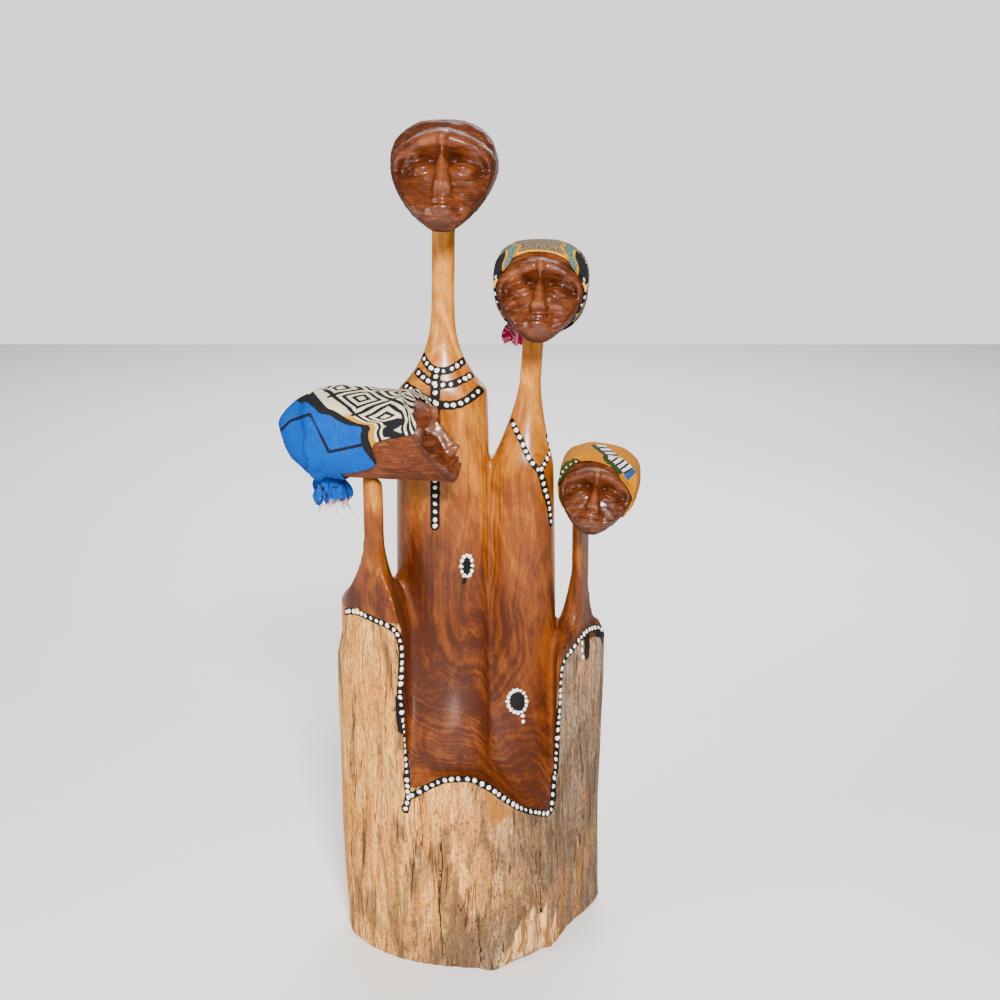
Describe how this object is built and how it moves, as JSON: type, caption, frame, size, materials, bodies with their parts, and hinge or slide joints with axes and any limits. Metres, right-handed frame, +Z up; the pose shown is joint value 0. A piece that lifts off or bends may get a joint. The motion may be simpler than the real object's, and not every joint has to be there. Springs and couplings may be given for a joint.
{
  "type": "family group sculpture",
  "caption": "Carved wooden family group: parents and children on long necks rising from one split log, with glued mask-like heads and printed cotton headscarves.",
  "frame": {"origin": "middle of the whole group's box, on the ground under the log", "axes": "+Z up along the log and the necks, -Y to the carved front that the parents face, +X to the front's right as a viewer sees it"},
  "size_m": [0.2738, 0.15, 0.64],
  "materials": {
    "carved_log": "weathered raw outside, oiled and polished where carved, with black and white painted dots",
    "head_wood": "dark red-brown varnish over chisel marks",
    "mother_print": "printed cotton, green panels with yellow and dark stripes",
    "blue_print": "printed cotton, blue with black lines and a black and cream band",
    "yellow_print": "printed cotton, yellow with dark green and white bands"
  },
  "bodies": {
    "root": {"family_log": "carved_log", "father_head": "head_wood", "mother_head": "head_wood", "left_child_head": "head_wood", "right_child_head": "head_wood", "mother_headscarf": "mother_print", "left_child_headscarf": "blue_print", "right_child_headscarf": "yellow_print"}
  },
  "joints": []
}
